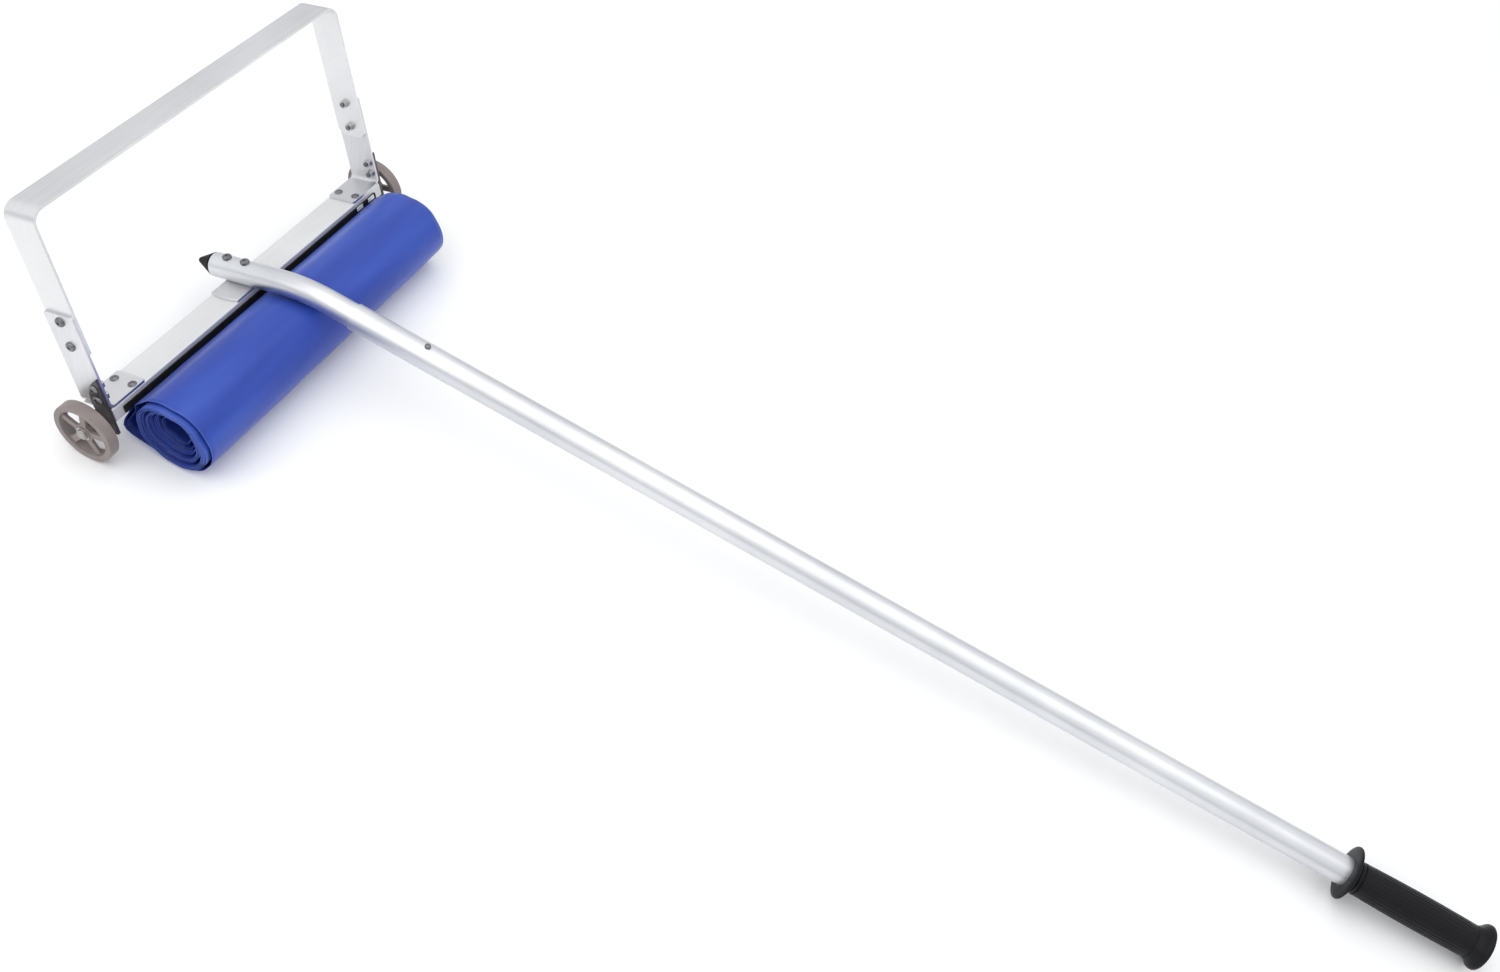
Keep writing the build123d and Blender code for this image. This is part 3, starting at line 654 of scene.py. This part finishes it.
RIVET_X, RIVET_Y, FOOT_TOP = 174.0, 11.0, 2.5
RIVET = [(0.2, 0.05), (0.2, 1.25), (-1.25, 1.25), (-1.5, 1.6), (-1.52, 2.2), (-1.35, 3.1), (-0.95, 3.9),
         (-0.45, 4.35), (-0.08, 4.4), (0, 4.25), (0, 2.4), (4.5, 2.4), (4.5, 3.0), (4.8, 3.2), (6.0, 3.1),
         (6.4, 2.5), (6.5, 0.05)]
PIN = [(-0.8, 0.05), (-0.75, 0.95), (-0.55, 1.2), (0.2, 1.2), (0.2, 0.05)]
rivet_parts, pin_parts = [], []
for side in (-1, 1):
    for y in (-RIVET_Y, RIVET_Y):
        top = lean(side * RIVET_X, y, FOOT_TOP)
        rivet_parts.append(lathe_data(top, lean_dir(0, 0, -1), RIVET, 40))
        pin_parts.append(lathe_data(top, lean_dir(0, 0, -1), PIN, 24))
rivets = mesh_object("blind_rivets", *merge(rivet_parts), smooth=35)
rivets.data.materials.append(screw_steel)
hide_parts("bar_rivets")
pins = mesh_object("rivet_pins", *merge(pin_parts), smooth=35)
pins.data.materials.append(zinc)

# ---- carried-over CAD nodes --------------------------------------------------------------------------------------

NODE_MATERIALS = {
    "cutter_frame": strip_metal, "left_side_bracket": leg_metal, "right_side_bracket": leg_metal,
    "base_bar": bar_metal, "pole_saddle": saddle_metal, "hem_clips": clip_metal,
    "head_tube": tube_metal, "pole_tube": tube_metal, "nose_plug": nose_black,
    "snap_button": screw_steel,
    "leg_nuts": zinc, "plate_nuts": zinc, "saddle_nuts": zinc, "axle_nuts": zinc, "axle_washers": zinc,
    "axle_spacers": polished, "left_axle": axle_steel, "right_axle": axle_steel,
    "left_axle_plate": graphite, "right_axle_plate": graphite,
    "left_wheel": wheel_grey, "right_wheel": wheel_grey,
}
# edge roundings in mm
BEVELS = {"cutter_frame": 0.35, "left_side_bracket": 0.35, "right_side_bracket": 0.35, "base_bar": 0.3,
          "hem_clips": 0.2, "left_axle_plate": 0.35, "right_axle_plate": 0.35, "leg_nuts": 0.35, "plate_nuts": 0.35,
          "saddle_nuts": 0.35, "axle_nuts": 0.5}
for name, material in NODE_MATERIALS.items():
    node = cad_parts[name]
    paint(node, material)
    if name in BEVELS:
        bevel = node.modifiers.new("edge", "BEVEL")
        bevel.width = BEVELS[name] * MM
        bevel.segments = 2
        bevel.limit_method = "ANGLE"
        bevel.angle_limit = math.radians(50)

# ---- floor, light and camera -------------------------------------------------------------------------------------

FLOOR = 8.0
corners = [(-FLOOR, -FLOOR, 0), (FLOOR, -FLOOR, 0), (FLOOR, FLOOR, 0), (-FLOOR, FLOOR, 0)]
floor_mesh = bpy.data.meshes.new("floor")
floor_mesh.from_pydata(corners, [], [(0, 1, 2, 3)])
floor = bpy.data.objects.new("floor", floor_mesh)
floor.location.z = -0.0001  # just under the wheels, so that no faces lie in one plane
bpy.context.scene.collection.objects.link(floor)
n = Nodes("pale_floor").set(Roughness=0.9, Specular_IOR_Level=0.1)
n.colour(n.ramp(n.noise(2.0), [(0.0, (0.93, 0.93, 0.93)), (1.0, (0.96, 0.96, 0.96))]))
floor_mesh.materials.append(n.material)

world = bpy.data.worlds.new("studio")
bpy.context.scene.world = world
world.use_nodes = True
background = world.node_tree.nodes["Background"]
background.inputs["Strength"].default_value = 1.0
# darker near the horizon, so that bare metal has something to reflect
sky = world.node_tree.nodes.new("ShaderNodeTexCoord")
height = world.node_tree.nodes.new("ShaderNodeSeparateXYZ")
shade = world.node_tree.nodes.new("ShaderNodeValToRGB")
world.node_tree.links.new(sky.outputs["Generated"], height.inputs["Vector"])
world.node_tree.links.new(height.outputs["Z"], shade.inputs["Fac"])
world.node_tree.links.new(shade.outputs["Color"], background.inputs["Color"])
shade.color_ramp.elements[0].position = 0.02
shade.color_ramp.elements[0].color = (0.34, 0.36, 0.40, 1)
shade.color_ramp.elements[1].position = 0.32
shade.color_ramp.elements[1].color = (0.98, 0.99, 1.0, 1)


def softbox(name, place, target, size, power, colour=(1, 1, 1)):
    light = bpy.data.lights.new(name, "AREA")
    light.shape = "RECTANGLE"
    light.size, light.size_y = size
    light.energy = power
    light.color = colour
    obj = bpy.data.objects.new(name, light)
    obj.location = place
    obj.rotation_euler = (Vector(target) - Vector(place)).to_track_quat("-Z", "Y").to_euler()
    bpy.context.scene.collection.objects.link(obj)


softbox("overhead", (-0.3, 0.3, 2.4), (0, 0, 0), (3.4, 3.4), 22)
softbox("key", (-1.6, 1.6, 1.5), (0, 0.35, 0), (1.2, 1.2), 5, (1, 0.99, 0.97))

# the camera as solved from the photograph
SENSOR, FOCAL_PIXELS, FRAME_PIXELS = 36.0, 1474.6, 1500
CAMERA_PLACE = (-0.88187, -0.11538, 1.14814)
CAMERA_RIGHT = Vector((0.4249, -0.8815, 0.2059))
CAMERA_UP = Vector((0.6319, 0.4518, 0.6298))
CAMERA_AHEAD = Vector((0.6482, 0.1375, -0.7489))
camera = bpy.data.cameras.new("camera")
camera.sensor_width = SENSOR
camera.lens = SENSOR * FOCAL_PIXELS / FRAME_PIXELS
camera_object = bpy.data.objects.new("camera", camera)
camera_turn = Matrix((CAMERA_RIGHT, CAMERA_UP, -CAMERA_AHEAD)).transposed().to_4x4()
camera_object.matrix_world = Matrix.Translation(CAMERA_PLACE) @ camera_turn
bpy.context.scene.collection.objects.link(camera_object)
bpy.context.scene.camera = camera_object
bpy.context.scene.view_settings.view_transform = "Standard"
